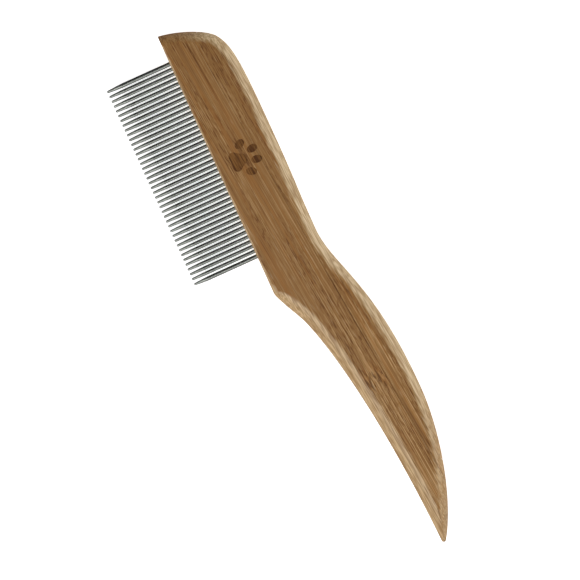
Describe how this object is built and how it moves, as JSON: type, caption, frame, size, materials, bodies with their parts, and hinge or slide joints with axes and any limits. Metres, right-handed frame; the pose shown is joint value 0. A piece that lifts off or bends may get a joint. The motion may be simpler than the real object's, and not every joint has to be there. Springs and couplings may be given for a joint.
{
  "type": "pet grooming comb",
  "caption": "Fine pet comb: a row of straight round steel pins set in the edge of a slim laminated bamboo handle with a curved, tapering grip and a burned paw print.",
  "frame": {"origin": "under the middle of the comb's outer box, on the plane of the plain back face it lies on", "axes": "+X along the straight tooth edge from the nose of the head to the tip of the grip; pins point towards -Y and the back edge is on the +Y side; +Z out of the face with the paw print"},
  "size_m": [0.2082, 0.059, 0.01],
  "materials": {
    "bamboo": "carbonised bamboo, fine straight grain, thin satin lacquer",
    "pin_steel": "polished stainless steel"
  },
  "bodies": {
    "root": {"front_ply_tooth_strip": "bamboo", "front_ply_back_strip": "bamboo", "core_ply_tooth_strip": "bamboo", "core_ply_back_strip": "bamboo", "back_ply_tooth_strip": "bamboo", "back_ply_back_strip": "bamboo", "pin_01": "pin_steel", "pin_02": "pin_steel", "pin_03": "pin_steel", "pin_04": "pin_steel", "pin_05": "pin_steel", "pin_06": "pin_steel", "pin_07": "pin_steel", "pin_08": "pin_steel", "pin_09": "pin_steel", "pin_10": "pin_steel", "pin_11": "pin_steel", "pin_12": "pin_steel", "pin_13": "pin_steel", "pin_14": "pin_steel", "pin_15": "pin_steel", "pin_16": "pin_steel", "pin_17": "pin_steel", "pin_18": "pin_steel", "pin_19": "pin_steel", "pin_20": "pin_steel", "pin_21": "pin_steel", "pin_22": "pin_steel", "pin_23": "pin_steel", "pin_24": "pin_steel", "pin_25": "pin_steel", "pin_26": "pin_steel", "pin_27": "pin_steel", "pin_28": "pin_steel", "pin_29": "pin_steel", "pin_30": "pin_steel", "pin_31": "pin_steel", "pin_32": "pin_steel", "pin_33": "pin_steel", "pin_34": "pin_steel", "pin_35": "pin_steel", "pin_36": "pin_steel", "pin_37": "pin_steel", "pin_38": "pin_steel", "pin_39": "pin_steel", "pin_40": "pin_steel", "pin_41": "pin_steel"}
  },
  "joints": []
}
